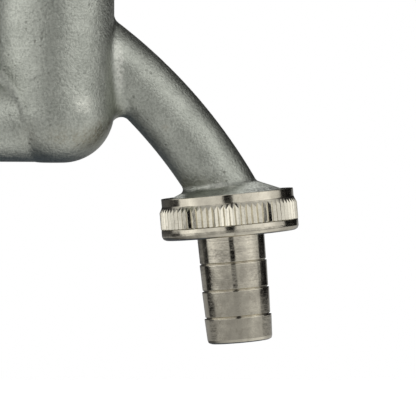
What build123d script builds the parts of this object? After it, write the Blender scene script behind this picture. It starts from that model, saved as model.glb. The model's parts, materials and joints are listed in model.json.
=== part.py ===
from build123d import *
from math import asin, cos, degrees, pi, radians, sin, tan
import os

os.makedirs("parts", exist_ok=True)

# Frame: the inlet axis is X and the water flows towards +X, the shoulder that
# stops against the wall fitting is the plane X = 0, and the chamber stands up
# along +Z. All sizes are in millimetres.

# Pipe thread form, the same on G 1/2 and on G 3/4
pipe_pitch = 1.814
pipe_thread_depth = 1.162
thread_angle = 55.0

# Hexagons: how far the turned end circle lies inside the flats, and its slope
hexagon_inset = 0.4
hexagon_slope = 30.0

# Inlet
inlet_thread_radius = 10.48
inlet_thread_length = 13.0
inlet_bore_radius = 5.75
inlet_end_chamfer = 0.8
spanner_flats = 24.0
spanner_length = 8.0
barrel_radius = 9.9

# Upright chamber, outside
chamber_x = 34.0
chamber_radius = 14.1
chamber_depth = 10.05
dome_radius = 11.9
chamber_top = 32.6
rim_step = 0.7
rim_height = 3.0
rim_chamfer = 0.5
barrel_fillet = 2.4

# Upright chamber, inside
cavity_wall = 5.0
cavity_floor = 3.5
cavity_corner = 5.0
partition_thickness = 2.0
cavity_headroom = 1.65
seat_hole_radius = 6.2
seat_land_radius = 7.6
seat_height = 1.7
upper_bore_wall = 4.0

# Spout: one bend from inside the chamber down into the outlet. Its angles are
# measured below level, and its start from the chamber axis and the inlet axis.
spout_start_offset = 3.24
spout_start_height = 21.29
spout_start_angle = 31.3
spout_bend_angle = 27.2
spout_overrun_angle = 1.6
spout_bend_radius = 115.85
spout_root_radius = 7.65
spout_end_radius = 7.8
spout_bore_radius = 4.7
spout_fillet = 3.0

# Outlet: its centre lies a little outside the bend, its axis leans a little from
# upright, and heights are measured down it
outlet_offset = 0.35
outlet_lean = 5.4
collar_height = 2.6
collar_top_radius = 6.6
collar_step = 0.42
collar_fillet = 1.2
outlet_thread_radius = 13.22
outlet_runout = 1.3
outlet_length = 4.6
outlet_end_chamfer = 0.4
outlet_bore_radius = 8.5
outlet_bore_rise = 0.6
outlet_bore_cone = 2.4

# Headwork, the screwed-in top that carries the spindle
headwork_wall = 3.6
headwork_clearance = 0.1
headwork_relief = 0.3
skirt_gap = 0.7
skirt_undercut = 0.4
bonnet_washer_thickness = 1.2
bonnet_washer_inset = 0.8
bonnet_washer_clearance = 0.4
bonnet_flange_height = 1.8
bonnet_flange_chamfer = 0.4
bonnet_flats = 24.0
bonnet_height = 8.0
neck_wall = 2.0
neck_height = 5.8
neck_pitch = 1.0
neck_thread_depth = 0.55
stuffing_depth = 5.0
stuffing_fit = 0.03

# Gland
packing_wall = 2.0
packing_height = 2.15
packing_gap = 0.05
packing_count = 2
gland_washer_height = 2.0
gland_flats = 19.0
gland_crown = 2.6
gland_gap = 0.8
gland_clearance = 0.05

# Spindle
stem_radius = 4.0
stem_clearance = 0.1
packing_clearance = 0.05
drive_screw_radius = 6.0
drive_screw_clearance = 0.1
drive_screw_length = 13.0
drive_screw_pitch = 2.0
drive_screw_depth = 0.8
square_flats = 6.0
square_height = 8.0
square_chamfer = 0.3
lift = 5.0
stop_ring_height = 1.0
stop_ring_inset = 0.2
stop_ring_fit = 0.03
full_lift_gap = 0.2

# Jumper valve
jumper_stem_radius = 3.0
jumper_stem_length = 11.5
jumper_stem_chamfer = 0.4
jumper_clearance = 0.1
jumper_end_gap = 0.4
jumper_disc_clearance = 1.2
jumper_disc_height = 2.0
stud_radius = 2.0
stud_end = 0.5
stud_clearance = 0.05
tap_washer_inset = 0.2
tap_washer_height = 4.0
plate_radius = 4.5
plate_height = 0.6
jumper_nut_flats = 7.0
jumper_nut_height = 2.6

# Handle
handle_gap = 2.0
hub_radius = 7.5
hub_round = 1.2
hub_web = 2.2
socket_clearance = 0.05
socket_headroom = 0.2
cap_bore_radius = 5.0
arm_height = 8.6
arm_root_radius = 4.1
arm_waist_radius = 3.1
arm_reach = 21.8
knob_radius = 5.2
knob_fillet = 1.5
arm_fillet = 1.2

# Handle screw, spring washer and cap
handle_screw_radius = 1.95
handle_screw_length = 10.0
handle_screw_clearance = 0.05
handle_screw_end_gap = 1.4
screw_head_radius = 3.6
screw_head_height = 2.0
screw_slot_width = 0.9
screw_slot_depth = 1.0
spring_washer_radius = 3.7
spring_washer_height = 0.8
spring_washer_gap = 0.7
spring_washer_clearance = 0.15
cap_gap = 0.8
cap_radius = 6.0
cap_edge_height = 0.5
cap_crown = 0.9
cap_skirt = 2.0
cap_wall = 0.8
cap_fit = 0.04

# Union nut
nut_height = 9.8
nut_lip = 1.5
nut_bore_clearance = 0.13
nut_lip_clearance = 0.25
nut_wall = 2.1
nut_ring_height = 2.0
nut_edge = 0.3
knurl_step = 0.65
knurl_height = 5.2
knurl_teeth = 72
knurl_depth = 0.55
knurl_land = 0.35
knurl_root = 0.2
nut_foot_round = 0.7

# Hose tail
tail_flange_clearance = 0.95
tail_flange_height = 1.6
tail_flange_chamfer = 0.3
tail_neck_step = 0.3
tail_bore_radius = 5.6
barb_count = 4
barb_pitch = 6.3
end_barb_length = 5.9
barb_radius = 7.85
barb_land = 1.2
barb_fall = 0.25
barb_gap = 0.1
tail_end_round = 0.8

# Union washer and the strainer in it
union_washer_clearance = 1.15
union_washer_step = 0.4
strainer_seat_width = 2.2
strainer_height = 0.4
strainer_fit = 0.05
strainer_hole_radius = 0.6
strainer_hole_spacing = 1.8
strainer_rows = 9

# Heights of what stacks up along the chamber axis
partition_bottom = inlet_bore_radius + cavity_headroom
partition_top = partition_bottom + partition_thickness
seat_top = partition_top + seat_height
tap_washer_top = seat_top + tap_washer_height
plate_bottom = seat_top - plate_height
jumper_nut_bottom = plate_bottom - jumper_nut_height
stud_bottom = jumper_nut_bottom - stud_end
disc_top = tap_washer_top + jumper_disc_height
jumper_stem_top = disc_top + jumper_stem_length
drive_screw_top = disc_top + drive_screw_length
stop_ring_top = drive_screw_top + stop_ring_height
full_lift_top = stop_ring_top + lift + full_lift_gap
skirt_bottom = disc_top + lift + skirt_gap
bonnet_seat = chamber_top + bonnet_washer_thickness
bonnet_shoulder = bonnet_seat + bonnet_height
neck_top = bonnet_shoulder + neck_height
stuffing_floor = neck_top - stuffing_depth
packing_top = stuffing_floor + packing_count * (packing_height + packing_gap)
gland_bottom = bonnet_shoulder + gland_gap
gland_ceiling = packing_top + gland_washer_height
gland_top = gland_ceiling + gland_crown
handle_seat = gland_top + handle_gap
square_top = handle_seat + square_height
hub_web_bottom = square_top + socket_headroom
hub_web_top = hub_web_bottom + hub_web
screw_seat = hub_web_top + spring_washer_height
handle_screw_bottom = screw_seat - handle_screw_length
screw_head_top = screw_seat + screw_head_height
hub_top = screw_head_top + cap_gap

# Radii round the chamber axis that follow from a neighbour
rim_radius = chamber_radius + rim_step
cavity_radius = chamber_radius - cavity_wall
upper_bore_radius = chamber_radius - upper_bore_wall
headwork_thread_radius = chamber_radius - headwork_wall
headwork_bore_radius = headwork_thread_radius + headwork_clearance
skirt_neck_radius = headwork_thread_radius - skirt_undercut
bonnet_flange_radius = rim_radius - rim_chamfer
bonnet_washer_radius = bonnet_flange_radius - bonnet_washer_inset
stuffing_radius = stem_radius + packing_wall
neck_radius = stuffing_radius + neck_wall
stop_ring_radius = drive_screw_radius - stop_ring_inset
jumper_disc_radius = upper_bore_radius - jumper_disc_clearance
tap_washer_radius = jumper_disc_radius - tap_washer_inset
handle_screw_hole_radius = handle_screw_radius + handle_screw_clearance

# Distances of what stacks up down the outlet axis, from the nut's upper face
nut_ceiling = nut_height - nut_lip
tail_top = nut_ceiling - tail_flange_height
barb_start = nut_height + barb_gap
barb_tops = [barb_start + barb * barb_pitch for barb in range(barb_count)]
tail_end = barb_tops[-1] + end_barb_length

# Radii round the outlet axis that follow from a neighbour
collar_base_radius = outlet_thread_radius - collar_step
nut_bore_radius = outlet_thread_radius + nut_bore_clearance
nut_ring_radius = nut_bore_radius + nut_wall
knurl_radius = nut_ring_radius + knurl_step
tail_flange_radius = nut_bore_radius - tail_flange_clearance
tail_neck_radius = barb_radius - tail_neck_step
union_washer_radius = nut_bore_radius - union_washer_clearance
union_washer_hole_radius = tail_bore_radius + union_washer_step
strainer_radius = union_washer_hole_radius + strainer_seat_width

# Axes and working planes
upright = Axis((chamber_x, 0, 0), (0, 0, 1))
upright_side = Plane(origin=(chamber_x, 0, 0), x_dir=(1, 0, 0), z_dir=(0, -1, 0))
inlet_side = Plane(origin=(0, 0, 0), x_dir=(0, 0, 1), z_dir=(0, -1, 0))
arm_axis_height = handle_seat + arm_height
arm_axis = Axis((chamber_x, 0, arm_axis_height), (1, 0, 0))
arm_side = Plane(origin=(chamber_x, 0, arm_axis_height), x_dir=(1, 0, 0), z_dir=(0, -1, 0))
start_turn = radians(spout_start_angle)
end_turn = radians(spout_start_angle + spout_bend_angle)
spout_start = Vector(chamber_x + spout_start_offset, 0, spout_start_height)
start_run = Vector(cos(start_turn), 0, -sin(start_turn))
bend_centre = spout_start - Vector(sin(start_turn), 0, cos(start_turn)) * spout_bend_radius
outlet_reach = spout_bend_radius + outlet_offset
outlet_centre = bend_centre + Vector(sin(end_turn), 0, cos(end_turn)) * outlet_reach
lean = radians(outlet_lean)
outlet_down = Vector(sin(lean), 0, -cos(lean))
outlet_across = Vector(cos(lean), 0, sin(lean))
outlet_axis = Axis(outlet_centre, outlet_down)
outlet_side = Plane(origin=outlet_centre, x_dir=outlet_across, z_dir=(0, 1, 0))


def level(height):
    """A level plane across the chamber axis."""
    return Plane(origin=(chamber_x, 0, height), x_dir=(1, 0, 0), z_dir=(0, 0, 1))


def outlet_level(distance):
    """A plane across the outlet axis, at a distance down it."""
    origin = outlet_centre + outlet_down * distance
    return Plane(origin=origin, x_dir=outlet_across, z_dir=outlet_down)


def half_section(side, points):
    """The closed outline of a turned piece, each point a radius and a height."""
    with BuildSketch(side) as section:
        with BuildLine():
            Polyline(*points, close=True)
        make_face()
    return section.sketch


def ring_section(side, inner, outer, start, end):
    """The outline of a plain ring."""
    return half_section(side, [(inner, start), (outer, start), (outer, end), (inner, end)])


def thread_outline(radius, depth, pitch, start, end):
    """Radius and height points along a screw thread from start to end, as V grooves."""
    half_groove = depth * tan(radians(thread_angle / 2))
    points = [(radius, start)]
    for turn in range(int((end - start) / pitch)):
        middle = start + (turn + 0.5) * pitch
        points.append((radius, middle - half_groove))
        points.append((radius - depth, middle))
        points.append((radius, middle + half_groove))
    return points + [(radius, end)]


def hexagon(plane, flats, height):
    """A hexagon standing on a plane, with its corners turned off at both ends."""
    corner = flats / 3**0.5
    circle = flats / 2 - hexagon_inset
    rise = (corner - circle) * tan(radians(hexagon_slope))
    side = Plane(origin=plane.origin, x_dir=plane.x_dir, z_dir=-plane.y_dir)
    outline = [(0, 0), (circle, 0), (corner, rise), (corner, height - rise), (circle, height)]
    with BuildPart() as hexagonal:
        with BuildSketch(plane):
            RegularPolygon(flats / 2, 6, major_radius=False)
        extrude(amount=height)
        turned = half_section(side, outline + [(0, height)])
        revolve(turned, axis=Axis(plane.origin, plane.z_dir), mode=Mode.INTERSECT)
    return hexagonal.part


def write_piece(piece, name):
    """Labels a finished piece and writes its file."""
    piece.part.label = name
    export_step(piece.part, f"parts/{name}.step")


# Tap body: one casting with the inlet, the chamber, the spout and the outlet.
# The outer skin comes first, so that its blends run over whole walls.
spanner_collar = hexagon(Plane.YZ, spanner_flats, spanner_length)

with BuildPart() as spout_waterway:
    with BuildLine(Plane.XZ) as spout_path:
        bend = spout_bend_angle + spout_overrun_angle
        JernArc(spout_start, start_run, spout_bend_radius, -bend)
    spout_root_plane = Plane(spout_path.line @ 0, z_dir=spout_path.line % 0)
    spout_end_plane = Plane(spout_path.line @ 1, z_dir=spout_path.line % 1)
    with BuildSketch(spout_root_plane):
        Circle(spout_bore_radius)
    sweep(path=spout_path.line)

with BuildPart() as tap_body:
    with BuildSketch(upright_side):
        with BuildLine():
            foot = (chamber_radius - dome_radius, -chamber_depth)
            hip = (chamber_radius, dome_radius - chamber_depth)
            Line((0, -chamber_depth), foot)
            RadiusArc(foot, hip, -dome_radius)
            Polyline(hip, (chamber_radius, chamber_top), (0, chamber_top), (0, -chamber_depth))
        make_face()
    revolve(axis=upright)
    with BuildSketch(Plane.YZ):
        Circle(barrel_radius)
    extrude(amount=chamber_x)
    fillet(tap_body.edges(Select.NEW).filter_by(GeomType.BSPLINE), barrel_fillet)

    with BuildSketch(spout_root_plane):
        Circle(spout_root_radius)
    with BuildSketch(spout_end_plane):
        Circle(spout_end_radius)
    sweep(path=spout_path.line, multisection=True)
    fillet(tap_body.edges(Select.NEW).filter_by(GeomType.BSPLINE), spout_fillet)

    outlet_outline = [(0, -collar_height), (collar_top_radius, -collar_height)]
    outlet_outline.append((collar_base_radius, 0))
    outlet_thread_end = outlet_length - outlet_end_chamfer
    outlet_outline += thread_outline(
        outlet_thread_radius, pipe_thread_depth, pipe_pitch, outlet_runout, outlet_thread_end
    )
    outlet_outline += [(outlet_thread_radius - outlet_end_chamfer, outlet_length)]
    outlet_outline += [(0, outlet_length)]
    revolve(half_section(outlet_side, outlet_outline), axis=outlet_axis)
    collar_seam = tap_body.edges(Select.NEW).filter_by(GeomType.BSPLINE)
    fillet(collar_seam, collar_fillet)

    rim_outline = [(0, chamber_top - rim_height), (chamber_radius, chamber_top - rim_height)]
    rim_outline.append((rim_radius, chamber_top - rim_height + rim_radius - chamber_radius))
    rim_outline.append((rim_radius, chamber_top - rim_chamfer))
    rim_outline += [(rim_radius - rim_chamfer, chamber_top), (0, chamber_top)]
    revolve(half_section(upright_side, rim_outline), axis=upright)

    add(spanner_collar)
    inlet_outline = [(0, -spanner_length / 2), (inlet_thread_radius, -spanner_length / 2)]
    inlet_thread_end = inlet_thread_length - inlet_end_chamfer
    inlet_outline += thread_outline(
        inlet_thread_radius, pipe_thread_depth, pipe_pitch, 0, inlet_thread_end
    )
    inlet_outline.append((inlet_thread_radius - inlet_end_chamfer, inlet_thread_length))
    inlet_outline.append((0, inlet_thread_length))
    revolve(half_section(inlet_side, inlet_outline), axis=Axis.X)

    # The waterway: the inlet bore, the cavity under the seat, the seat, the
    # headwork's bore above it, the spout's bore and the outlet.
    with BuildSketch(Plane.YZ.offset(-inlet_thread_length)):
        Circle(inlet_bore_radius)
    extrude(amount=inlet_thread_length + chamber_x, mode=Mode.SUBTRACT)
    with BuildSketch(upright_side):
        with BuildLine():
            cavity_bottom = cavity_floor - chamber_depth
            cavity_foot = (cavity_radius - cavity_corner, cavity_bottom)
            cavity_hip = (cavity_radius, cavity_bottom + cavity_corner)
            Line((0, cavity_bottom), cavity_foot)
            RadiusArc(cavity_foot, cavity_hip, -cavity_corner)
            Polyline(cavity_hip, (cavity_radius, partition_bottom), (0, partition_bottom))
            Line((0, partition_bottom), (0, cavity_bottom))
        make_face()
    revolve(axis=upright, mode=Mode.SUBTRACT)
    headwork_bore_end = skirt_bottom - headwork_relief
    upper_outline = [(0, seat_top), (seat_land_radius, seat_top)]
    upper_outline += [(seat_land_radius, partition_top), (upper_bore_radius, partition_top)]
    upper_outline += [(upper_bore_radius, headwork_bore_end)]
    upper_outline += [(headwork_bore_radius, headwork_bore_end)]
    upper_outline += [(headwork_bore_radius, chamber_top), (0, chamber_top)]
    revolve(half_section(upright_side, upper_outline), axis=upright, mode=Mode.SUBTRACT)
    with BuildSketch(level(partition_bottom)):
        Circle(seat_hole_radius)
    extrude(amount=seat_top - partition_bottom, mode=Mode.SUBTRACT)
    add(spout_waterway.part, mode=Mode.SUBTRACT)
    bore_top = -outlet_bore_rise
    bore_end = outlet_length + 2 * outlet_bore_radius
    bore_outline = [(0, bore_top - outlet_bore_cone), (outlet_bore_radius, bore_top)]
    bore_outline += [(outlet_bore_radius, bore_end), (0, bore_end)]
    revolve(half_section(outlet_side, bore_outline), axis=outlet_axis, mode=Mode.SUBTRACT)

write_piece(tap_body, "tap_body")

# Bonnet: screws into the chamber, carries the drive screw and the stuffing box
bonnet_hexagon = hexagon(
    level(bonnet_seat + bonnet_flange_height), bonnet_flats, bonnet_height - bonnet_flange_height
)

with BuildPart() as bonnet:
    flange_top = bonnet_seat + bonnet_flange_height
    skirt_outline = [(0, skirt_bottom)]
    skirt_outline += thread_outline(
        headwork_thread_radius, pipe_thread_depth, pipe_pitch, skirt_bottom, chamber_top
    )
    skirt_outline += [(skirt_neck_radius, chamber_top), (skirt_neck_radius, bonnet_seat)]
    skirt_outline += [(bonnet_flange_radius, bonnet_seat)]
    skirt_outline += [(bonnet_flange_radius, flange_top - bonnet_flange_chamfer)]
    skirt_outline += [(bonnet_flange_radius - bonnet_flange_chamfer, flange_top)]
    skirt_outline += [(0, flange_top)]
    revolve(half_section(upright_side, skirt_outline), axis=upright)
    add(bonnet_hexagon)
    neck_outline = [(0, flange_top), (neck_radius, flange_top)]
    neck_outline += thread_outline(
        neck_radius, neck_thread_depth, neck_pitch, bonnet_shoulder, neck_top
    )
    neck_outline += [(0, neck_top)]
    revolve(half_section(upright_side, neck_outline), axis=upright)
    bore_radius = drive_screw_radius + drive_screw_clearance
    guide_radius = stem_radius + stem_clearance
    bonnet_bore = [(0, skirt_bottom), (bore_radius, skirt_bottom), (bore_radius, full_lift_top)]
    bonnet_bore += [(guide_radius, full_lift_top), (guide_radius, stuffing_floor)]
    bonnet_bore += [(stuffing_radius, stuffing_floor), (stuffing_radius, neck_top), (0, neck_top)]
    revolve(half_section(upright_side, bonnet_bore), axis=upright, mode=Mode.SUBTRACT)

write_piece(bonnet, "bonnet")

with BuildPart() as bonnet_washer:
    washer_hole = skirt_neck_radius + bonnet_washer_clearance
    revolve(
        ring_section(upright_side, washer_hole, bonnet_washer_radius, chamber_top, bonnet_seat),
        axis=upright,
    )

write_piece(bonnet_washer, "bonnet_washer")

# Packing: soft rings squeezed round the stem
with BuildPart() as packing_rings:
    for turn in range(packing_count):
        ring_bottom = stuffing_floor + turn * (packing_height + packing_gap)
        packing_section = ring_section(
            upright_side,
            stem_radius + packing_clearance,
            stuffing_radius - stuffing_fit,
            ring_bottom,
            ring_bottom + packing_height,
        )
        revolve(packing_section, axis=upright)

write_piece(packing_rings, "packing_rings")

with BuildPart() as gland_washer:
    follower_section = ring_section(
        upright_side,
        stem_radius + stem_clearance,
        stuffing_radius - stuffing_fit,
        packing_top,
        gland_ceiling,
    )
    revolve(follower_section, axis=upright)

write_piece(gland_washer, "gland_washer")

gland_hexagon = hexagon(level(gland_bottom), gland_flats, gland_top - gland_bottom)

with BuildPart() as gland_nut:
    add(gland_hexagon)
    gland_thread_radius = neck_radius + gland_clearance
    gland_bore = [(0, gland_bottom), (gland_thread_radius, gland_bottom)]
    gland_bore += [(gland_thread_radius, gland_ceiling)]
    gland_bore += [(stem_radius + stem_clearance, gland_ceiling)]
    gland_bore += [(stem_radius + stem_clearance, gland_top), (0, gland_top)]
    revolve(half_section(upright_side, gland_bore), axis=upright, mode=Mode.SUBTRACT)

write_piece(gland_nut, "gland_nut")

# Jumper valve: a loose stem in the spindle, with the tap washer on its stud
with BuildPart() as jumper:
    jumper_outline = [(0, stud_bottom), (stud_radius, stud_bottom)]
    jumper_outline += [(stud_radius, tap_washer_top), (jumper_disc_radius, tap_washer_top)]
    jumper_outline += [(jumper_disc_radius, disc_top), (jumper_stem_radius, disc_top)]
    jumper_outline += [(jumper_stem_radius, jumper_stem_top - jumper_stem_chamfer)]
    jumper_outline += [(jumper_stem_radius - jumper_stem_chamfer, jumper_stem_top)]
    jumper_outline += [(0, jumper_stem_top)]
    revolve(half_section(upright_side, jumper_outline), axis=upright)

write_piece(jumper, "jumper")

stud_hole_radius = stud_radius + stud_clearance

with BuildPart() as tap_washer:
    tap_washer_section = ring_section(
        upright_side, stud_hole_radius, tap_washer_radius, seat_top, tap_washer_top
    )
    revolve(tap_washer_section, axis=upright)

write_piece(tap_washer, "tap_washer")

with BuildPart() as jumper_plate:
    plate_section = ring_section(
        upright_side, stud_hole_radius, plate_radius, plate_bottom, seat_top
    )
    revolve(plate_section, axis=upright)

write_piece(jumper_plate, "jumper_plate")

jumper_hexagon = hexagon(level(jumper_nut_bottom), jumper_nut_flats, jumper_nut_height)

with BuildPart() as jumper_nut:
    add(jumper_hexagon)
    with BuildSketch(level(jumper_nut_bottom)):
        Circle(stud_hole_radius)
    extrude(amount=jumper_nut_height, mode=Mode.SUBTRACT)

write_piece(jumper_nut, "jumper_nut")

# Spindle: the drive screw in the bonnet, the stem through the gland, the square
with BuildPart() as spindle:
    spindle_outline = [(0, disc_top)]
    spindle_outline += thread_outline(
        drive_screw_radius, drive_screw_depth, drive_screw_pitch, disc_top, drive_screw_top
    )
    spindle_outline += [(stem_radius, drive_screw_top), (stem_radius, square_top)]
    spindle_outline += [(0, square_top)]
    revolve(half_section(upright_side, spindle_outline), axis=upright)
    with BuildSketch(level(handle_seat)):
        Circle(2 * stem_radius)
        Rectangle(square_flats, square_flats, mode=Mode.SUBTRACT)
    extrude(amount=square_height, mode=Mode.SUBTRACT)
    chamfer(spindle.faces().sort_by(Axis.Z)[-1].edges(), square_chamfer)
    with BuildSketch(level(disc_top)):
        Circle(jumper_stem_radius + jumper_clearance)
    extrude(amount=jumper_stem_length + jumper_end_gap, mode=Mode.SUBTRACT)
    with BuildSketch(level(handle_screw_bottom - handle_screw_end_gap)):
        Circle(handle_screw_hole_radius)
    extrude(amount=square_top - handle_screw_bottom + handle_screw_end_gap, mode=Mode.SUBTRACT)

write_piece(spindle, "spindle")

with BuildPart() as back_seat_ring:
    stop_section = ring_section(
        upright_side,
        stem_radius + stop_ring_fit,
        stop_ring_radius,
        drive_screw_top,
        stop_ring_top,
    )
    revolve(stop_section, axis=upright)

write_piece(back_seat_ring, "back_seat_ring")

# Handle: a hub on the spindle's square, with two arms that end in knobs
with BuildPart() as handle:
    with BuildSketch(upright_side):
        with BuildLine():
            hub_shoulder = (hub_radius, hub_top - hub_round)
            hub_edge = (hub_radius - hub_round, hub_top)
            Polyline((0, handle_seat), (hub_radius, handle_seat), hub_shoulder)
            RadiusArc(hub_shoulder, hub_edge, -hub_round)
            Polyline(hub_edge, (0, hub_top), (0, handle_seat))
        make_face()
    revolve(axis=upright)
    with BuildSketch(arm_side) as arms:
        with BuildLine():
            knob_start = arm_reach - (knob_radius**2 - arm_waist_radius**2) ** 0.5
            knob_turn = 180 - degrees(asin(arm_waist_radius / knob_radius))
            knob_end = arm_reach + knob_radius
            Polyline((0, 0), (0, arm_root_radius), (knob_start, arm_waist_radius))
            CenterArc((arm_reach, 0), knob_radius, 0, knob_turn)
            Line((knob_end, 0), (0, 0))
        make_face()
        waist = arms.vertices().sort_by_distance((knob_start, arm_waist_radius))[0]
        fillet(waist, knob_fillet)
        mirror(about=Plane.YZ)
    revolve(axis=arm_axis)
    fillet(handle.edges(Select.NEW).filter_by(GeomType.BSPLINE), arm_fillet)
    with BuildSketch(level(handle_seat)):
        socket_flats = square_flats + 2 * socket_clearance
        Rectangle(socket_flats, socket_flats)
    extrude(amount=hub_web_bottom - handle_seat, mode=Mode.SUBTRACT)
    with BuildSketch(level(hub_web_bottom)):
        Circle(handle_screw_hole_radius)
    extrude(amount=hub_web, mode=Mode.SUBTRACT)
    with BuildSketch(level(hub_web_top)):
        Circle(cap_bore_radius)
    extrude(amount=hub_top - hub_web_top, mode=Mode.SUBTRACT)

write_piece(handle, "handle")

with BuildPart() as handle_spring_washer:
    with BuildSketch(level(hub_web_top)):
        Circle(spring_washer_radius)
        Circle(handle_screw_radius + spring_washer_clearance, mode=Mode.SUBTRACT)
        with Locations((spring_washer_radius, 0)):
            Rectangle(2 * spring_washer_radius, spring_washer_gap, mode=Mode.SUBTRACT)
    extrude(amount=spring_washer_height)

write_piece(handle_spring_washer, "handle_spring_washer")

with BuildPart() as handle_screw:
    screw_outline = [(0, handle_screw_bottom), (handle_screw_radius, handle_screw_bottom)]
    screw_outline += [(handle_screw_radius, screw_seat), (screw_head_radius, screw_seat)]
    screw_outline += [(screw_head_radius, screw_head_top), (0, screw_head_top)]
    revolve(half_section(upright_side, screw_outline), axis=upright)
    with BuildSketch(level(screw_head_top)):
        Rectangle(2 * screw_head_radius, screw_slot_width)
    extrude(amount=-screw_slot_depth, mode=Mode.SUBTRACT)

write_piece(handle_screw, "handle_screw")

# Cap: an index button, pressed into the hub over the screw
with BuildPart() as handle_cap:
    skirt_radius = cap_bore_radius - cap_fit
    skirt_end = hub_top - cap_skirt
    with BuildSketch(upright_side):
        with BuildLine():
            cap_edge = (cap_radius, hub_top + cap_edge_height)
            cap_middle = (0, hub_top + cap_edge_height + cap_crown)
            Polyline(
                (0, hub_top),
                (skirt_radius - cap_wall, hub_top),
                (skirt_radius - cap_wall, skirt_end),
                (skirt_radius, skirt_end),
                (skirt_radius, hub_top),
                (cap_radius, hub_top),
                cap_edge,
            )
            crown_radius = (cap_radius**2 + cap_crown**2) / (2 * cap_crown)
            RadiusArc(cap_edge, cap_middle, -crown_radius)
            Line(cap_middle, (0, hub_top))
        make_face()
    revolve(axis=upright)

write_piece(handle_cap, "handle_cap")

# Union nut: a knurled ring whose lip holds up the hose tail's flange
with BuildPart() as union_nut:
    lip_radius = barb_radius + nut_lip_clearance
    knurl_chamfer = knurl_radius - nut_ring_radius
    knurl_end = nut_ring_height + knurl_height
    foot_start = (knurl_radius, nut_height - nut_foot_round)
    foot_end = (knurl_radius - nut_foot_round, nut_height)
    with BuildSketch(outlet_side):
        with BuildLine():
            Polyline(
                (nut_bore_radius, nut_edge),
                (nut_bore_radius + nut_edge, 0),
                (nut_ring_radius - nut_edge, 0),
                (nut_ring_radius, nut_edge),
                (nut_ring_radius, nut_ring_height),
                (knurl_radius, nut_ring_height + knurl_chamfer),
                foot_start,
            )
            RadiusArc(foot_start, foot_end, -nut_foot_round)
            Polyline(
                foot_end,
                (lip_radius, nut_height),
                (lip_radius, nut_ceiling),
                (nut_bore_radius, nut_ceiling),
                (nut_bore_radius, nut_edge),
            )
        make_face()
    revolve(axis=outlet_axis)
    with BuildSketch(outlet_level(nut_ring_height)):
        tooth_pitch = 2 * pi * knurl_radius / knurl_teeth
        groove_half = (tooth_pitch - knurl_land) / 2
        groove_floor = knurl_radius - knurl_depth
        groove_mouth = knurl_radius + knurl_depth
        with PolarLocations(0, knurl_teeth):
            Polygon(
                (groove_floor, knurl_root / 2),
                (groove_floor, -knurl_root / 2),
                (knurl_radius, -groove_half),
                (groove_mouth, -groove_half),
                (groove_mouth, groove_half),
                (knurl_radius, groove_half),
                align=None,
            )
    extrude(amount=knurl_height, mode=Mode.SUBTRACT)

write_piece(union_nut, "union_nut")

# Hose tail: a flange under the washer, then barbs that fall away downwards
with BuildPart() as hose_tail:
    flange_edge = tail_flange_radius - tail_flange_chamfer
    tail_points = [(tail_bore_radius, tail_top), (flange_edge, tail_top)]
    tail_points += [(tail_flange_radius, tail_top + tail_flange_chamfer)]
    tail_points += [(tail_flange_radius, nut_ceiling), (tail_neck_radius, nut_ceiling)]
    tail_points += [(tail_neck_radius, barb_start)]
    for barb_top, barb_end in zip(barb_tops, barb_tops[1:] + [tail_end]):
        tail_points += [(barb_radius, barb_top), (barb_radius, barb_top + barb_land)]
        tail_points += [(barb_radius - barb_fall, barb_end)]
    tail_points += [(tail_bore_radius, tail_end)]
    revolve(half_section(outlet_side, tail_points), axis=outlet_axis)
    end_face = hose_tail.faces().sort_by(outlet_axis)[-1]
    fillet(end_face.edges().sort_by(SortBy.RADIUS)[-1], tail_end_round)

write_piece(hose_tail, "hose_tail")

with BuildPart() as hose_washer:
    recess_radius = strainer_radius + strainer_fit
    washer_outline = [(recess_radius, outlet_length), (union_washer_radius, outlet_length)]
    washer_outline += [(union_washer_radius, tail_top), (union_washer_hole_radius, tail_top)]
    washer_outline += [(union_washer_hole_radius, outlet_length + strainer_height)]
    washer_outline += [(recess_radius, outlet_length + strainer_height)]
    revolve(half_section(outlet_side, washer_outline), axis=outlet_axis)

write_piece(hose_washer, "hose_washer")

# Strainer: a perforated disc in the washer's recess
with BuildPart() as hose_strainer:
    with BuildSketch(outlet_level(outlet_length)):
        Circle(strainer_radius)
        open_radius = union_washer_hole_radius - strainer_hole_radius
        grid = HexLocations(strainer_hole_spacing / 2, strainer_rows, strainer_rows)
        holes = [spot for spot in grid.local_locations if spot.position.length < open_radius]
        with Locations(*holes):
            Circle(strainer_hole_radius, mode=Mode.SUBTRACT)
    extrude(amount=strainer_height)

write_piece(hose_strainer, "hose_strainer")
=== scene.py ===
import json
import math

import bmesh
import bpy
from mathutils import Matrix, Vector


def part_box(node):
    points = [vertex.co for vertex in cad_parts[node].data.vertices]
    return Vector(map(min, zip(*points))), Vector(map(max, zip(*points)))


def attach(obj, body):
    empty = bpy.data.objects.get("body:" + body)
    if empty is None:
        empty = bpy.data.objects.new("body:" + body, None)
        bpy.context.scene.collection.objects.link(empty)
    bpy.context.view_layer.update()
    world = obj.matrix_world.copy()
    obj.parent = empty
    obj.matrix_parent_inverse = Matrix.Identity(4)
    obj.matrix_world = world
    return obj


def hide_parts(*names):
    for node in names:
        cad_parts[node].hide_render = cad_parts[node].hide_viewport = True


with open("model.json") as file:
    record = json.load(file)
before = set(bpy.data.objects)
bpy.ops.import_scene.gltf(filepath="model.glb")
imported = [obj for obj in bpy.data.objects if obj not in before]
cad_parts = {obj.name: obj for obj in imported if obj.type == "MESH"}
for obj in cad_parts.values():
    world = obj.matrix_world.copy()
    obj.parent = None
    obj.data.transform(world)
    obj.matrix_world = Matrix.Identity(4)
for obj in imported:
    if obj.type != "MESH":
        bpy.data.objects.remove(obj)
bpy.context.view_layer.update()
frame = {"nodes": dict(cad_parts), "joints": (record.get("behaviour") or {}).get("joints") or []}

MM = 0.001

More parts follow.
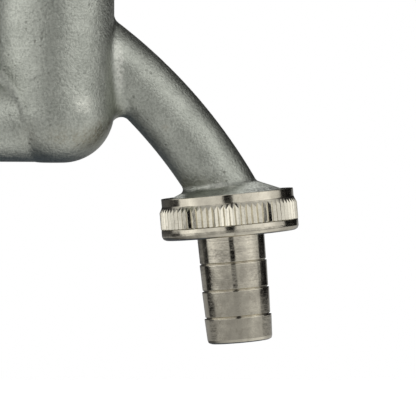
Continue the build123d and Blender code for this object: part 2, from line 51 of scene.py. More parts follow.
# The photograph is square. Its pixels are each this much of the tap, and these
# pixels hold the chamber's axis and the inlet's axis.
PHOTO_SIDE = 416
PHOTO_PIXEL = 0.23 * MM
CHAMBER_COLUMN = 53
INLET_ROW = 119

# The camera stands far off, a little below the picture's middle. The tap is
# turned about its chamber, so that the spout points away from the camera.
CAMERA_DISTANCE = 1000 * MM
CAMERA_DROP = 4 * MM
VIEW_TURN = 18
CAMERA_RANGE = (0.01, 20.0)

joints = {joint["name"]: joint for joint in frame["joints"]}
outlet_centre = Vector(joints["nut_turn"]["pos_m"])
outlet_down = Vector(joints["nut_turn"]["axis"]).normalized()
outlet_turn = outlet_down.to_track_quat("Z", "Y")
chamber_x = (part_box("spindle")[0].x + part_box("spindle")[1].x) / 2
chamber_axis = Vector((chamber_x, 0, 0))


def srgb(hex_colour):
    """Linear red, green, blue and alpha from an sRGB hex colour."""
    channels = [int(hex_colour[i : i + 2], 16) / 255 for i in (0, 2, 4)]
    low = [c / 12.92 for c in channels]
    high = [((c + 0.055) / 1.055) ** 2.4 for c in channels]
    linear = [a if c <= 0.04045 else b for a, b, c in zip(low, high, channels)]
    return (*linear, 1.0)


def add_node(tree, kind, settings=(), inputs=(), links=()):
    """Adds a node with its settings, its input values and the sockets that feed it."""
    node = tree.nodes.new(kind)
    for name, value in dict(settings).items():
        setattr(node, name, value)
    for name, value in dict(inputs).items():
        node.inputs[name].default_value = value
    for name, socket in dict(links).items():
        tree.links.new(socket, node.inputs[name])
    return node


def new_material(name, **inputs):
    """A material with its shader, whose inputs are given by name."""
    material = bpy.data.materials.new(name)
    material.use_nodes = True
    shader = material.node_tree.nodes["Principled BSDF"]
    for key, value in inputs.items():
        shader.inputs[key.replace("_", " ")].default_value = value
    return material, material.node_tree, shader


def noise(tree, place, grain, detail=2.0, roughness=0.5):
    """The value of a noise whose grains are this many millimetres large."""
    node = add_node(
        tree,
        "ShaderNodeTexNoise",
        inputs={"Scale": 1 / (grain * MM), "Detail": detail, "Roughness": roughness},
        links={"Vector": place},
    )
    return node.outputs["Fac"]


def ranged(tree, value, source, target, smooth=False):
    """A value brought from one range into another."""
    node = add_node(
        tree,
        "ShaderNodeMapRange",
        {"interpolation_type": "SMOOTHSTEP" if smooth else "LINEAR"},
        {"From Min": source[0], "From Max": source[1], "To Min": target[0], "To Max": target[1]},
        {"Value": value},
    )
    return node.outputs["Result"]


def blended(tree, factor, low, high):
    """A colour between two, each a hex colour or a socket."""
    node = add_node(tree, "ShaderNodeMix", {"data_type": "RGBA"}, links={"Factor": factor})
    for name, colour in (("A", low), ("B", high)):
        if isinstance(colour, str):
            node.inputs[name].default_value = srgb(colour)
        else:
            tree.links.new(colour, node.inputs[name])
    return node.outputs["Result"]


def raised(tree, height, depth, normal=None):
    """A normal bent by a height whose full range is this many millimetres deep."""
    links = {"Height": height}
    if normal:
        links["Normal"] = normal
    node = add_node(
        tree, "ShaderNodeBump", inputs={"Strength": 1.0, "Distance": depth * MM}, links=links
    )
    return node.outputs["Normal"]


def join_shader(tree, shader, colour, roughness, normal):
    """Feeds a shader its colour, roughness and normal."""
    tree.links.new(colour, shader.inputs["Base Color"])
    tree.links.new(roughness, shader.inputs["Roughness"])
    tree.links.new(normal, shader.inputs["Normal"])


# Patches on the casting: where each is in millimetres, how far it reaches, how
# strongly it covers there, and its colour. Rust brown on the spout, browner and darker
# low on the chamber, and painted highlights on the chamber's round and the spout's blend.
STAINS_AND_PAINTED_HIGHLIGHTS = (
    ((58.7, -7.3, -2.3), 1.6, 0.85, "8A6A3C"),
    ((63.0, -6.8, -0.9), 1.1, 0.7, "94703A"),
    ((60.0, -6.9, -4.4), 0.9, 0.8, "8C6A40"),
    ((42.0, -10.0, -3.2), 5.0, 0.60, "6E6048"),
    ((45.0, -8.0, -1.6), 3.2, 0.55, "6A5A3C"),
    ((32.0, -12.3, -4.8), 5.0, 0.45, "8A826C"),
    ((37.4, -11.4, -4.8), 5.0, 0.50, "8A826C"),
    ((26.0, -9.0, -4.0), 5.0, 0.30, "8A867A"),
    # Painted highlights on the chamber's round
    ((37.2, -13.8, 3.2), 3.6, 0.6, "F0F0E4"),
    ((30.5, -12.0, 5.1), 2.0, 0.6, "E6E4D6"),
    # Painted reflection: a light streak along the blend where the spout begins
    ((47.3, -7.9, 17.0), 1.9, 0.5, "F4F4EA"),
    ((47.4, -7.9, 15.3), 2.0, 0.6, "F4F4EA"),
    ((47.5, -7.7, 13.6), 2.0, 0.7, "F4F4EA"),
    ((47.6, -7.3, 11.9), 2.0, 0.7, "F4F4EA"),
    ((47.8, -6.6, 10.2), 2.0, 0.8, "F4F4EA"),
    ((48.1, -5.8, 8.5), 2.0, 0.8, "F4F4EA"),
    ((48.4, -4.8, 6.8), 2.0, 0.7, "F4F4EA"),
)
# The same for the collar above the nut: degrees from the front towards the far
# side, the radius and the height over the nut, then reach, cover and colour. Two
# arcs are painted reflections, and along a third is painted shade by the nut.
COLLAR_PAINTED_LIGHT_AND_SHADE = (
    # Painted reflections: two light arcs over the collar
    [(angle, 7.9, 2.7, 1.8, 0.8, "F4F4EA") for angle in range(-80, -25, 12)]
    + [(angle, 8.8, 1.4, 1.6, 0.8, "F4F4EA") for angle in range(-70, -5, 12)]
    # Painted shade where the collar meets the nut
    + [(angle, 12.2, 0.6, 2.3, 0.9, "34342F") for angle in range(8, 90, 11)]
)


def stains_and_painted_light():
    """Every stain, painted highlight, painted reflection and painted shade with its place on the
    casting in millimetres.
    """
    every_patch = list(STAINS_AND_PAINTED_HIGHLIGHTS)
    far_side = Vector((-outlet_down.z, 0, outlet_down.x))
    for angle, radius, height, reach, cover, colour in COLLAR_PAINTED_LIGHT_AND_SHADE:
        turn = math.radians(angle)
        outwards = math.sin(turn) * far_side - math.cos(turn) * Vector((0, 1, 0))
        spot = outlet_centre / MM + outwards * radius - outlet_down * height
        every_patch.append((spot, reach, cover, colour))
    return every_patch


# How far worn edges are rounded by shading, in millimetres
CASTING_EDGE = 0.3
PLAIN_EDGE = 0.12
EDGE_SAMPLES = 4


def sand_blasted_nickel():
    """Cast brass, sand-blasted and nickel plated: an even grey with the casting's
    grain and pits, which break up its soft reflections. Its edges are worn round.
    The grit is about 0.25 mm on the real one, too fine to show, so it's drawn 0.55."""
    material, tree, shader = new_material("sand_blasted_nickel", Metallic=1.0)
    place = add_node(tree, "ShaderNodeTexCoord").outputs["Object"]
    patches = noise(tree, place, 7.0, 3.0, 0.55)
    mottle = noise(tree, place, 1.5, 2.0, 0.6)
    grit = noise(tree, place, 0.55, 3.0, 0.65)
    tone = blended(tree, ranged(tree, patches, (0.3, 0.7), (0.0, 1.0)), "ACAFA6", "C6C9BF")
    fleck = ranged(tree, grit, (0.34, 0.60), (0.42, 0.0))
    tone = blended(tree, fleck, tone, "62645C")
    cells = add_node(
        tree,
        "ShaderNodeTexVoronoi",
        inputs={"Scale": 1 / (1.9 * MM), "Randomness": 1.0},
        links={"Vector": place},
    ).outputs["Distance"]
    holes = ranged(tree, cells, (0.10, 0.24), (1.0, 0.0), smooth=True)
    where = ranged(tree, noise(tree, place, 4.0), (0.50, 0.60), (0.0, 1.0))
    pits = add_node(
        tree, "ShaderNodeMath", {"operation": "MULTIPLY"}, links={0: holes, 1: where}
    ).outputs[0]
    tone = blended(tree, ranged(tree, pits, (0.0, 1.0), (0.0, 0.4)), tone, "4C4B44")
    specks = ranged(tree, noise(tree, place, 0.8, 2.0), (0.42, 0.62), (0.25, 1.0))
    # Rust and brown patches, and painted highlights, painted reflections and painted shade, laid
    # into the colour
    for spot, reach, cover, colour in stains_and_painted_light():
        away = add_node(
            tree,
            "ShaderNodeVectorMath",
            {"operation": "DISTANCE"},
            {1: Vector(spot) * MM},
            {0: place},
        ).outputs["Value"]
        near = ranged(tree, away, (0.0, reach * MM), (cover, 0.0), smooth=True)
        broken = add_node(
            tree, "ShaderNodeMath", {"operation": "MULTIPLY"}, links={0: near, 1: specks}
        ).outputs[0]
        tone = blended(tree, broken, tone, colour)
    gloss = ranged(tree, grit, (0.3, 0.7), (0.28, 0.40))
    worn = add_node(
        tree, "ShaderNodeBevel", {"samples": EDGE_SAMPLES}, {"Radius": CASTING_EDGE * MM}
    )
    swell = raised(tree, patches, 0.12, worn.outputs["Normal"])
    rough = raised(tree, mottle, 0.09, swell)
    grain = raised(tree, grit, 0.14, rough)
    hollow = ranged(tree, pits, (0.0, 1.0), (1.0, 0.0))
    join_shader(tree, shader, tone, gloss, raised(tree, hollow, 0.06, grain))
    return material


def bright_nickel(name, low, high):
    """Turned brass, bright nickel plated and handled for years: warm mirror
    reflections, clouded here and there, over faint rings from the lathe. The lighter
    pair of tones, used on the knurl, is a painted brighter reflection. The lathe's
    feed is about 0.1 mm on the real one, too fine to show, so its rings are drawn 0.35 mm apart."""
    material, tree, shader = new_material(name, Metallic=1.0)
    place = add_node(tree, "ShaderNodeTexCoord").outputs["Object"]
    on_axis = add_node(
        tree,
        "ShaderNodeMapping",
        {"vector_type": "TEXTURE"},
        {"Location": outlet_centre, "Rotation": outlet_turn.to_euler()},
        {"Vector": place},
    ).outputs["Vector"]
    flattened = add_node(
        tree, "ShaderNodeMapping", inputs={"Scale": (0.02, 0.02, 1.0)}, links={"Vector": on_axis}
    ).outputs["Vector"]
    marks = noise(tree, flattened, 0.35)
    cloud = noise(tree, on_axis, 3.2, 3.0, 0.6)
    smears = noise(tree, on_axis, 1.1, 3.0, 0.6)
    tone = blended(tree, ranged(tree, cloud, (0.3, 0.7), (0.0, 1.0)), low, high)
    tone = blended(tree, ranged(tree, smears, (0.55, 0.75), (0.0, 0.35)), tone, "8E8574")
    gloss = ranged(tree, cloud, (0.3, 0.7), (0.07, 0.17))
    wave = raised(tree, cloud, 0.03)
    join_shader(tree, shader, tone, gloss, raised(tree, marks, 0.004, wave))
    return material


# Plainer finishes, each with its common name and how it was made: two colours
# between which it varies, whether it is metal, its roughness, and the size and
# depth of its grain in millimetres
FINISHES = {
    # Turned brass, unplated: golden, with soft reflections that show tool marks
    "turned_brass": ("B4924E", "CDAE6C", 1.0, (0.18, 0.30), 0.5, 0.01),
    # Stainless steel, stamped and cleaned: cool grey and bright
    "stainless_steel": ("B0B0AE", "C6C6C3", 1.0, (0.16, 0.26), 0.6, 0.01),
    # Black rubber, moulded: matt, with a dusty bloom
    "moulded_rubber": ("1B1B1A", "2A2A28", 0.0, (0.55, 0.72), 0.4, 0.02),
    # Red vulcanised fibre, pressed in sheets: matt, with darker strands
    "pressed_fibre": ("7E2A1C", "A0402C", 0.0, (0.60, 0.78), 0.7, 0.03),
    # White packing, wound and squeezed: waxy
    "wound_packing": ("DAD9D3", "ECEBE6", 0.0, (0.35, 0.5), 0.6, 0.03),
    # Blue plastic, moulded in a polished tool: glossy, hardly any grain
    "glossy_plastic": ("12398C", "1646A2", 0.0, (0.08, 0.14), 3.0, 0.004),
}


def plain_finish(name, low, high, metallic, roughness, grain, depth):
    """A finish that varies a little in colour and gloss over a fine grain."""
    material, tree, shader = new_material(name, Metallic=metallic)
    place = add_node(tree, "ShaderNodeTexCoord").outputs["Object"]
    cloud = noise(tree, place, 8 * grain, 3.0)
    grit = noise(tree, place, grain)
    share = ranged(tree, cloud, (0.3, 0.7), (0.0, 1.0))
    gloss = ranged(tree, grit, (0.3, 0.7), roughness)
    worn = add_node(
        tree, "ShaderNodeBevel", {"samples": EDGE_SAMPLES}, {"Radius": PLAIN_EDGE * MM}
    )
    normal = raised(tree, grit, depth, worn.outputs["Normal"])
    join_shader(tree, shader, blended(tree, share, low, high), gloss, normal)
    return material


# Light round the tap in bands, from above to below. Each stop is its degrees from
# the camera, to the right positive, and how bright it is there. Overhead light
# comes from above and behind.
TOP_RING = (
    (-180, 1.70), (-60, 1.10), (-10, 0.80), (60, 0.65), (110, 0.45), (150, 0.50),
    (180, 1.70),
)
# Over the soft boxes the room is dimmer
HIGH_RING = (
    (-180, 0.03), (-126, 0.03), (-108, 0.55), (-20, 0.50), (20, 0.52), (90, 0.64),
    (110, 0.46), (122, 0.03), (180, 0.03),
)
# Two soft boxes, and the dim room behind. The left one is wider at its top.
UPPER_RING = (
    (-180, 0.03), (-118, 0.06), (-108, 1.00), (-80, 1.24), (-70, 1.45), (-58, 1.22),
    (-40, 1.06), (-22, 1.00), (-8, 0.58), (8, 0.58), (22, 0.98), (48, 1.20), (60, 1.50), (72, 1.46),
    (84, 0.80), (96, 0.50), (104, 0.01), (150, 0.01), (180, 0.02),
)
LEVEL_RING = (
    (-180, 0.02), (-160, 0.10), (-128, 0.10), (-97, 0.01), (-90, 1.15), (-80, 1.24),
    (-70, 1.50), (-58, 1.16), (-40, 0.98), (0, 0.94), (30, 0.98), (48, 1.16),
    (60, 1.42), (72, 1.42), (84, 0.94), (102, 0.84), (107, 0.01), (150, 0.01),
    (158, 0.35), (180, 0.20),
)
# What the tail's barbs show: the lower end of the boxes, over the table's edge
EDGE_RING = (
    (-180, 0.20), (-162, 0.20), (-156, 0.42), (-124, 0.36), (-116, 0.01),
    (-90, 0.01), (-82, 0.38), (-40, 0.40), (0, 0.45), (30, 0.51), (52, 0.70),
    (64, 0.60), (88, 0.56), (93, 0.01), (146, 0.01), (156, 0.42), (180, 0.30),
)
# The far part of the table, and then its near part, which is pale
TABLE_RING = (
    (-180, 0.24), (-134, 0.36), (-112, 0.38), (-96, 0.42), (-60, 0.44), (0, 0.44),
    (44, 0.46), (60, 0.50), (86, 0.54), (106, 0.52), (150, 0.42), (180, 0.30),
)
LOW_RING = (
    (-180, 0.12), (-120, 0.10), (-90, 0.34), (-40, 0.62), (0, 0.66), (45, 0.72),
    (68, 0.94), (92, 1.00), (112, 0.72), (130, 0.50), (150, 0.52), (165, 0.34),
    (180, 0.12),
)
# Each band with the elevations in degrees over which it takes over from the last
BANDS = (
    (TOP_RING, None),
    (HIGH_RING, (104, 84)),
    (UPPER_RING, (40, 27)),
    (LEVEL_RING, (4, 1)),
    (EDGE_RING, (-4.5, -6.1)),
    (TABLE_RING, (-9.1, -9.8)),
    (LOW_RING, (-22, -34)),
)
# The narrow dark gap between the two boxes, and where it ends below
GAP_RING = ((-180, 1.0), (-10, 1.0), (-7, 0.0), (7, 0.0), (10, 1.0), (180, 1.0))
GAP_END = (-6.6, -7.6)
# The bands stand square to the tail, which leans to the right
BAND_LEAN = 5.1
# How brightly the room lights what isn't shiny
MATT_LIGHT = 0.7
# The tap's own shadow on the table, as seen from the tap: its direction with the
# camera towards -Y, where it is full and where it ends in degrees, its colour
SHADOW = ((-0.18, 0.70, -0.69), 22, 34, "4E555E")


def ring_of_light(tree, share_of_turn, stops):
    """Brightness round the tap from its stops."""
    ramp = add_node(tree, "ShaderNodeValToRGB", links={"Fac": share_of_turn})
    elements = ramp.color_ramp.elements
    elements.remove(elements[0])
    for index, (degrees, level) in enumerate(stops):
        place = degrees / 360 + 0.5
        stop = elements[0] if index == 0 else elements.new(place)
        stop.position = place
        stop.color = (level, level, level, 1.0)
    return ramp.outputs["Color"]


def between(tree, elevation, border):
    """How far an elevation is from the first to the second of two, in degrees."""
    limits = [math.radians(height) for height in border]
    return ranged(tree, elevation, limits, (0.0, 1.0), smooth=True)


def studio_world():
    """A white background, and for reflections soft boxes in a dim room. The room
    is turned with the camera."""
    world = bpy.data.worlds.new("studio")
    bpy.context.scene.world = world
    world.use_nodes = True
    tree = world.node_tree
    tree.nodes.clear()
    direction = add_node(
        tree,
        "ShaderNodeVectorRotate",
        {"rotation_type": "Z_AXIS"},
        {"Angle": math.radians(VIEW_TURN)},
        {"Vector": add_node(tree, "ShaderNodeTexCoord").outputs["Generated"]},
    ).outputs["Vector"]
    part = add_node(tree, "ShaderNodeSeparateXYZ", links={"Vector": direction})
    nearer = add_node(
        tree, "ShaderNodeMath", {"operation": "MULTIPLY"}, {1: -1.0}, {0: part.outputs["Y"]}
    )
    azimuth = add_node(
        tree,
        "ShaderNodeMath",
        {"operation": "ARCTAN2"},
        links={0: part.outputs["X"], 1: nearer.outputs[0]},
    )
    share = ranged(tree, azimuth.outputs[0], (-math.pi, math.pi), (0.0, 1.0))
    upright = add_node(
        tree,
        "ShaderNodeVectorRotate",
        {"rotation_type": "Y_AXIS"},
        {"Angle": math.radians(BAND_LEAN)},
        {"Vector": direction},
    ).outputs["Vector"]
    height = add_node(tree, "ShaderNodeSeparateXYZ", links={"Vector": upright}).outputs["Z"]
    level = add_node(tree, "ShaderNodeMath", {"operation": "ARCSINE"}, links={0: height})
    # The bands draw together away from the camera
    ahead = ranged(tree, nearer.outputs[0], (-1.0, 1.0), (0.02, 1.0))
    spread = add_node(tree, "ShaderNodeMath", {"operation": "SQRT"}, links={0: ahead})
    elevation = add_node(
        tree,
        "ShaderNodeMath",
        {"operation": "DIVIDE"},
        links={0: level.outputs[0], 1: spread.outputs[0]},
    ).outputs[0]
    room = None
    for stops, border in BANDS:
        ring = ring_of_light(tree, share, stops)
        if room:
            ring = blended(tree, between(tree, elevation, border), room, ring)
        room = ring
    gap = ring_of_light(tree, share, GAP_RING)
    gap = blended(tree, between(tree, elevation, GAP_END), gap, "FFFFFF")
    room = add_node(
        tree, "ShaderNodeVectorMath", {"operation": "MULTIPLY"}, links={0: room, 1: gap}
    ).outputs["Vector"]
    way, full, end, colour = SHADOW
    closeness = add_node(
        tree,
        "ShaderNodeVectorMath",
        {"operation": "DOT_PRODUCT"},
        {1: Vector(way).normalized()},
        {0: direction},
    ).outputs["Value"]
    rim = (math.cos(math.radians(end)), math.cos(math.radians(full)))
    room = blended(tree, ranged(tree, closeness, rim, (0.0, 1.0), smooth=True), room, colour)

    rays = add_node(tree, "ShaderNodeLightPath").outputs
    plain = add_node(tree, "ShaderNodeBackground", inputs={"Strength": MATT_LIGHT})
    white = add_node(tree, "ShaderNodeBackground", inputs={"Strength": 1.0})
    plain.inputs["Color"].default_value = white.inputs["Color"].default_value = srgb("FFFFFF")
    boxes = add_node(
        tree, "ShaderNodeBackground", inputs={"Strength": 1.0}, links={"Color": room}
    )
    seen = add_node(
        tree,
        "ShaderNodeMath",
        {"operation": "MAXIMUM"},
        links={0: rays["Is Camera Ray"], 1: rays["Is Transmission Ray"]},
    )
    reflected = add_node(
        tree,
        "ShaderNodeMixShader",
        links={0: rays["Is Glossy Ray"], 1: plain.outputs[0], 2: boxes.outputs[0]},
    )
    whole = add_node(
        tree,
        "ShaderNodeMixShader",
        links={0: seen.outputs[0], 1: reflected.outputs[0], 2: white.outputs[0]},
    )
    add_node(tree, "ShaderNodeOutputWorld", links={"Surface": whole.outputs[0]})


def place_camera():
    """A nearly level camera in front of the tap, at the photograph's angle."""
    camera = bpy.data.objects.new("camera", bpy.data.cameras.new("camera"))
    bpy.context.scene.collection.objects.link(camera)
    middle = PHOTO_SIDE / 2
    aim = Vector(((middle - CHAMBER_COLUMN) * PHOTO_PIXEL, 0, (INLET_ROW - middle) * PHOTO_PIXEL))
    spot = aim - Vector((0, CAMERA_DISTANCE, CAMERA_DROP))
    turn = Matrix.Rotation(math.radians(-VIEW_TURN), 4, "Z")
    gaze = (aim - spot).to_track_quat("-Z", "Y").to_matrix().to_4x4()
    camera.matrix_world = (
        Matrix.Translation(chamber_axis) @ turn @ Matrix.Translation(spot) @ gaze
    )
    camera.data.lens = camera.data.sensor_width * CAMERA_DISTANCE / (PHOTO_SIDE * PHOTO_PIXEL)
    camera.data.clip_start, camera.data.clip_end = CAMERA_RANGE
    bpy.context.scene.camera = camera


# The floor the tap would lie on, and its soft edge
FLOOR_HEIGHT = -75 * MM
FLOOR_RADIUS = 450 * MM
FLOOR_FULL = 200 * MM


def lay_floor():
    """A plain pale floor that fades into the white background."""
    mesh = bpy.data.meshes.new("floor")
    plate = bmesh.new()
    middle = chamber_axis + Vector((0, 0, FLOOR_HEIGHT))
    bmesh.ops.create_circle(plate, cap_ends=True, segments=96, radius=FLOOR_RADIUS)
    bmesh.ops.translate(plate, verts=plate.verts, vec=middle)
    plate.to_mesh(mesh)
    plate.free()
    floor = bpy.data.objects.new("floor", mesh)
    bpy.context.scene.collection.objects.link(floor)
    material, tree, shader = new_material("pale_floor", Roughness=0.9)
    shader.inputs["Base Color"].default_value = srgb("F4F4F2")
    place = add_node(tree, "ShaderNodeTexCoord").outputs["Object"]
    away = add_node(
        tree, "ShaderNodeVectorMath", {"operation": "DISTANCE"}, {1: middle}, {0: place}
    ).outputs["Value"]
    fade = ranged(tree, away, (FLOOR_FULL, FLOOR_RADIUS), (1.0, 0.0), smooth=True)
    tree.links.new(fade, shader.inputs["Alpha"])
    mesh.materials.append(material)
    floor.visible_glossy = False


# Lamps for the parts that aren't metal: where from in degrees round from the
# camera and up, their width in metres and their power in watts
LAMPS = ((-50, 35, 0.5, 5.0), (60, 25, 0.5, 4.0), (170, 50, 0.6, 4.0))
LAMP_DISTANCE = 0.9


def hang_lamps():
    """Soft lamps round the tap. The metal reflects the studio instead."""
    for index, (azimuth, height, width, power) in enumerate(LAMPS):
        lamp = bpy.data.lights.new(f"lamp_{index}", "AREA")
        lamp.shape = "DISK"
        lamp.size = width
        lamp.energy = power
        holder = bpy.data.objects.new(f"lamp_{index}", lamp)
        bpy.context.scene.collection.objects.link(holder)
        round_tap = math.radians(azimuth - VIEW_TURN)
        level = math.cos(math.radians(height))
        away = Vector(
            (
                math.sin(round_tap) * level,
                -math.cos(round_tap) * level,
                math.sin(math.radians(height)),
            )
        )
        holder.location = chamber_axis + away * LAMP_DISTANCE
        holder.rotation_euler = (-away).to_track_quat("-Z", "Y").to_euler()
        holder.visible_camera = False
        holder.visible_glossy = False


# Turned pieces: their segments, and the fold in degrees that stays sharp on them
# and on the knurl
TURNED_SEGMENTS = 288
TURNED_CREASE = 40
KNURL_CREASE = 16
CORNER_STEPS = 3


def rounded(corners, reach):
    """A closed outline whose corners are cut back by reach and rounded. A point close
    to each end of a straight keeps the straight's own shading flat."""
    outline = []
    points = [Vector(corner) for corner in corners]
    for index, corner in enumerate(points):
        before = points[index - 1] - corner
        after = points[(index + 1) % len(points)] - corner
        start = before.normalized() * min(reach, before.length / 2.5)
        end = after.normalized() * min(reach, after.length / 2.5)
        outline.append(corner + start * 1.2)
        for step in range(CORNER_STEPS + 1):
            t = step / CORNER_STEPS
            outline.append(corner + start * (1 - t) ** 2 + end * t**2)
        outline.append(corner + end * 1.2)
    return outline


def turned_piece(name, corners, reach):
    """A piece turned about the outlet axis. Its corners are radii and distances
    down that axis, in millimetres."""
    outline = rounded(corners, reach)
    mesh = bpy.data.meshes.new(name)
    count = len(outline)
    spots = []
    for turn in range(TURNED_SEGMENTS):
        angle = 2 * math.pi * turn / TURNED_SEGMENTS
        for radius, down in outline:
            spots.append((radius * math.cos(angle), radius * math.sin(angle), down))
    faces = []
    for turn in range(TURNED_SEGMENTS):
        here, there = turn * count, (turn + 1) % TURNED_SEGMENTS * count
        for index in range(count):
            following = (index + 1) % count
            faces.append((here + index, here + following, there + following, there + index))
    mesh.from_pydata(spots, [], faces)
    return finish_outlet_piece(name, mesh, MM, TURNED_CREASE)


def finish_outlet_piece(name, mesh, scale, crease):
    """Stands a mesh made about its own Z axis on the outlet axis, as an object. Folds
    of more than crease degrees stay sharp."""
    place = Matrix.Translation(outlet_centre) @ outlet_turn.to_matrix().to_4x4()
    mesh.transform(place @ Matrix.Scale(scale, 4))
    tidy = bmesh.new()
    tidy.from_mesh(mesh)
    bmesh.ops.recalc_face_normals(tidy, faces=tidy.faces)
    tidy.to_mesh(mesh)
    tidy.free()
    mesh.polygons.foreach_set("use_smooth", [True] * len(mesh.polygons))
    mesh.set_sharp_from_angle(angle=math.radians(crease))
    piece = bpy.data.objects.new(name, mesh)
    bpy.context.scene.collection.objects.link(piece)
    return piece


# Union nut, in millimetres from its upper face
NUT_BORE = 13.35
NUT_RING = 15.42
NUT_FOOT = 16.0
NUT_CEILING = 8.3
NUT_HEIGHT = 9.78
NUT_LIP = 8.1
KNURL_START = 2.0
KNURL_END = 7.2
KNURL_TEETH = 72
KNURL_TOP = 16.05
KNURL_DEPTH = 0.46
KNURL_SLOPE = 2.0
KNURL_WEAR = 0.10
WAIST_SINK = 0.06
NUT_ROUNDING = 0.16
# The round of the nut's foot: how far in and how far up each corner is
NUT_FOOT_ROUND = ((0.0, 1.7), (0.02, 0.9), (0.32, 0.3), (0.95, 0.0))
# A tooth's broken edges: at its sloped start and at its lower end, how deep, how
# long, and how far the end face goes below the groove
KNURL_START_BREAK = 0.03
KNURL_START_LAND = 0.04
KNURL_END_BREAK = 0.05
KNURL_END_LAND = 0.16
KNURL_END_SINK = 0.1
# Rows along a tooth, as shares of its length, for its wear
KNURL_ROWS = (0.35, 0.7)
# The profile of half a tooth: shares of its half width and of its depth
KNURL_PROFILE = ((0.0, 1.0), (0.09, 0.97), (0.94, 0.05), (1.0, -0.10))

# Hose tail, in millimetres from the nut's upper face
TAIL_TOP = 6.7
TAIL_END = 34.7
TAIL_BORE = 5.6
TAIL_FLANGE = 12.4
BARB_RADIUS = 7.83
BARB_TOPS = (9.9, 16.2, 22.5, 28.8)
BARB_FALLS = (0.10, 0.16, 0.24, 0.26)
BARB_LAND = 0.2
BARB_GROOVE_DEPTH = 0.26
# How far before a barb's top its groove starts, and where its floor lies
BARB_GROOVE = (0.42, 0.24, 0.07)
TAIL_ROUNDING = 0.07
FLANGE_CHAMFER = 0.3
# The round of the tail's end: how far in and how far up each corner is
TAIL_END_ROUND = ((0.0, 0.9), (0.22, 0.28), (0.85, 0.0))


def nut_body():
    """The nut without its knurl: a ring, a waist behind the teeth, a round foot."""
    waist = KNURL_TOP - KNURL_DEPTH - WAIST_SINK
    corners = [(NUT_BORE, 0.05), (NUT_RING, 0.02), (NUT_RING, KNURL_START)]
    corners += [(waist, KNURL_START + 0.1), (waist, KNURL_END), (NUT_FOOT - 0.03, KNURL_END)]
    corners += [(NUT_FOOT - inwards, NUT_HEIGHT - up) for inwards, up in NUT_FOOT_ROUND]
    corners += [(NUT_LIP, NUT_HEIGHT), (NUT_LIP, NUT_CEILING), (NUT_BORE, NUT_CEILING)]
    return turned_piece("union_nut_body", corners, NUT_ROUNDING)


def tooth_mesh():
    """One tooth of the knurl, on the X side: a ridge with flat flanks whose end is
    turned off at a slope, so that two flanks and the groove between them end in a
    pointed arch."""
    half_turn = math.pi / KNURL_TEETH
    floor = KNURL_TOP - KNURL_DEPTH
    profile = [(-across, share) for across, share in reversed(KNURL_PROFILE[1:])]
    columns = []
    for across, depth_share in profile + list(KNURL_PROFILE):
        height = KNURL_DEPTH * depth_share
        start = KNURL_START + (floor + height - NUT_RING) * KNURL_SLOPE
        crest = floor + height
        rows = [(NUT_RING, KNURL_START), (crest - KNURL_START_BREAK, start - KNURL_START_BREAK)]
        rows += [(crest, start + KNURL_START_LAND)]
        rows += [(crest, start + (KNURL_END - start) * share) for share in KNURL_ROWS]
        rows += [(crest, KNURL_END - KNURL_END_LAND)]
        rows += [(crest - KNURL_END_BREAK, KNURL_END - KNURL_END_BREAK)]
        rows += [(floor - KNURL_END_SINK, KNURL_END)]
        columns.append([(radius, across * half_turn, down) for radius, down in rows])
    spots = [(r * math.cos(a), r * math.sin(a), d) for column in columns for r, a, d in column]
    rows = len(columns[0])
    faces = []
    for column in range(len(columns) - 1):
        for row in range(rows - 1):
            corner = column * rows + row
            faces.append((corner, corner + 1, corner + rows + 1, corner + rows))
    mesh = bpy.data.meshes.new("knurl_tooth")
    mesh.from_pydata([Vector(spot) * MM for spot in spots], [], faces)
    return mesh


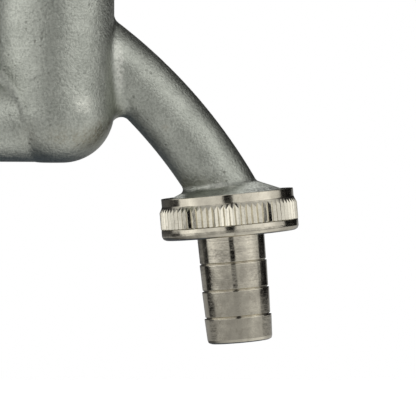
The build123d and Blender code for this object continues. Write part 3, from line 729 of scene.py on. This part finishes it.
def repeat_round_axis(tooth, teeth, wear, material):
    """A node group that sets a tooth round the Z axis, joins the teeth along their
    flanks and wears them a little unevenly."""
    tree = bpy.data.node_groups.new("teeth_round_axis", "GeometryNodeTree")
    sockets = {}
    for name, way, kind in (
        ("Tooth", "INPUT", "NodeSocketGeometry"),
        ("Teeth", "INPUT", "NodeSocketInt"),
        ("Wear", "INPUT", "NodeSocketFloat"),
        ("Knurl", "OUTPUT", "NodeSocketGeometry"),
    ):
        sockets[name] = tree.interface.new_socket(name, in_out=way, socket_type=kind)
    given = add_node(tree, "NodeGroupInput").outputs
    index = add_node(tree, "GeometryNodeInputIndex").outputs[0]
    points = add_node(tree, "GeometryNodePoints", links={"Count": given["Teeth"]})
    share = add_node(
        tree, "ShaderNodeMath", {"operation": "DIVIDE"}, links={0: index, 1: given["Teeth"]}
    )
    angle = add_node(
        tree, "ShaderNodeMath", {"operation": "MULTIPLY"}, {1: 2 * math.pi}, {0: share.outputs[0]}
    )
    turn = add_node(tree, "ShaderNodeCombineXYZ", links={"Z": angle.outputs[0]})
    copies = add_node(
        tree,
        "GeometryNodeInstanceOnPoints",
        links={
            "Points": points.outputs[0],
            "Instance": given["Tooth"],
            "Rotation": turn.outputs[0],
        },
    )
    real = add_node(tree, "GeometryNodeRealizeInstances", links={0: copies.outputs[0]})
    joined = add_node(
        tree,
        "GeometryNodeMergeByDistance",
        inputs={"Distance": 0.01 * MM},
        links={"Geometry": real.outputs[0]},
    )
    position = add_node(tree, "GeometryNodeInputPosition").outputs[0]
    uneven = add_node(
        tree,
        "ShaderNodeTexNoise",
        inputs={"Scale": 1 / (1.6 * MM), "Detail": 1.0},
        links={"Vector": position},
    )
    centred = add_node(
        tree,
        "ShaderNodeVectorMath",
        {"operation": "SUBTRACT"},
        {1: (0.62, 0.62, 0.5)},
        {0: uneven.outputs["Color"]},
    )
    moved = add_node(
        tree,
        "ShaderNodeVectorMath",
        {"operation": "SCALE"},
        links={0: centred.outputs[0], "Scale": given["Wear"]},
    )
    worn = add_node(
        tree,
        "GeometryNodeSetPosition",
        links={"Geometry": joined.outputs[0], "Offset": moved.outputs[0]},
    )
    dressed = add_node(
        tree,
        "GeometryNodeSetMaterial",
        inputs={"Material": material},
        links={"Geometry": worn.outputs[0]},
    )
    add_node(tree, "NodeGroupOutput", links={"Knurl": dressed.outputs[0]})

    holder = bpy.data.objects.new("knurl_tooth", tooth)
    bpy.context.scene.collection.objects.link(holder)
    modifier = holder.modifiers.new("teeth", "NODES")
    modifier.node_group = tree
    modifier[sockets["Teeth"].identifier] = teeth
    modifier[sockets["Wear"].identifier] = wear
    bpy.context.view_layer.update()
    evaluated = holder.evaluated_get(bpy.context.evaluated_depsgraph_get())
    mesh = bpy.data.meshes.new_from_object(evaluated)
    bpy.data.objects.remove(holder)
    return mesh


def hose_tail():
    """The hose tail: at each barb a fine groove, a short land and a long fall."""
    low = BARB_RADIUS - BARB_FALLS[0]
    groove_start, floor_start, floor_end = BARB_GROOVE
    corners = [(TAIL_BORE, TAIL_TOP), (TAIL_FLANGE - FLANGE_CHAMFER, TAIL_TOP)]
    corners += [(TAIL_FLANGE, TAIL_TOP + FLANGE_CHAMFER)]
    corners += [(TAIL_FLANGE, NUT_CEILING), (low, NUT_CEILING)]
    for top, fall in zip(BARB_TOPS, BARB_FALLS):
        floor = low - BARB_GROOVE_DEPTH
        corners += [(low, top - groove_start), (floor, top - floor_start)]
        corners += [(floor, top - floor_end), (BARB_RADIUS, top), (BARB_RADIUS, top + BARB_LAND)]
        low = BARB_RADIUS - fall
    corners += [(low - inwards, TAIL_END - up) for inwards, up in TAIL_END_ROUND]
    corners += [(TAIL_BORE, TAIL_END)]
    return turned_piece("hose_tail_turned", corners, TAIL_ROUNDING)


place_camera()
studio_world()
lay_floor()
hang_lamps()
bpy.context.scene.view_settings.view_transform = "Standard"

finishes = {name: plain_finish(name, *values) for name, values in FINISHES.items()}
finishes["sand_blasted_nickel"] = sand_blasted_nickel()
finishes["bright_nickel"] = bright_nickel("bright_nickel", "B7B1A3", "D3CDBC")
# The knurl's nickel is a lighter copy: a painted brighter reflection
finishes["nickel_painted_brighter"] = bright_nickel("nickel_painted_brighter", "C4BFB1", "E0DBCB")
FINISH_OF = {
    "tap_body": "sand_blasted_nickel",
    "handle": "sand_blasted_nickel",
    "bonnet": "sand_blasted_nickel",
    "gland_nut": "sand_blasted_nickel",
    "union_nut": "bright_nickel",
    "hose_tail": "bright_nickel",
    "jumper": "turned_brass",
    "jumper_plate": "turned_brass",
    "jumper_nut": "turned_brass",
    "spindle": "turned_brass",
    "gland_washer": "turned_brass",
    "back_seat_ring": "turned_brass",
    "tap_washer": "moulded_rubber",
    "hose_washer": "moulded_rubber",
    "bonnet_washer": "pressed_fibre",
    "packing_rings": "wound_packing",
    "handle_screw": "stainless_steel",
    "handle_spring_washer": "stainless_steel",
    "hose_strainer": "stainless_steel",
    "handle_cap": "glossy_plastic",
}
for node, finish in FINISH_OF.items():
    frame["nodes"][node].material_slots[0].material = finishes[finish]

knurl_mesh = repeat_round_axis(
    tooth_mesh(), KNURL_TEETH, KNURL_WEAR * MM, finishes["nickel_painted_brighter"]
)
knurl = finish_outlet_piece("union_nut_knurl", knurl_mesh, 1.0, KNURL_CREASE)
nut = nut_body()
nut.data.materials.append(finishes["bright_nickel"])
tail = hose_tail()
tail.data.materials.append(finishes["bright_nickel"])
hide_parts("union_nut")
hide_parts("hose_tail")
for piece, body in ((nut, "union_nut"), (knurl, "union_nut"), (tail, "hose_union")):
    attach(piece, body)
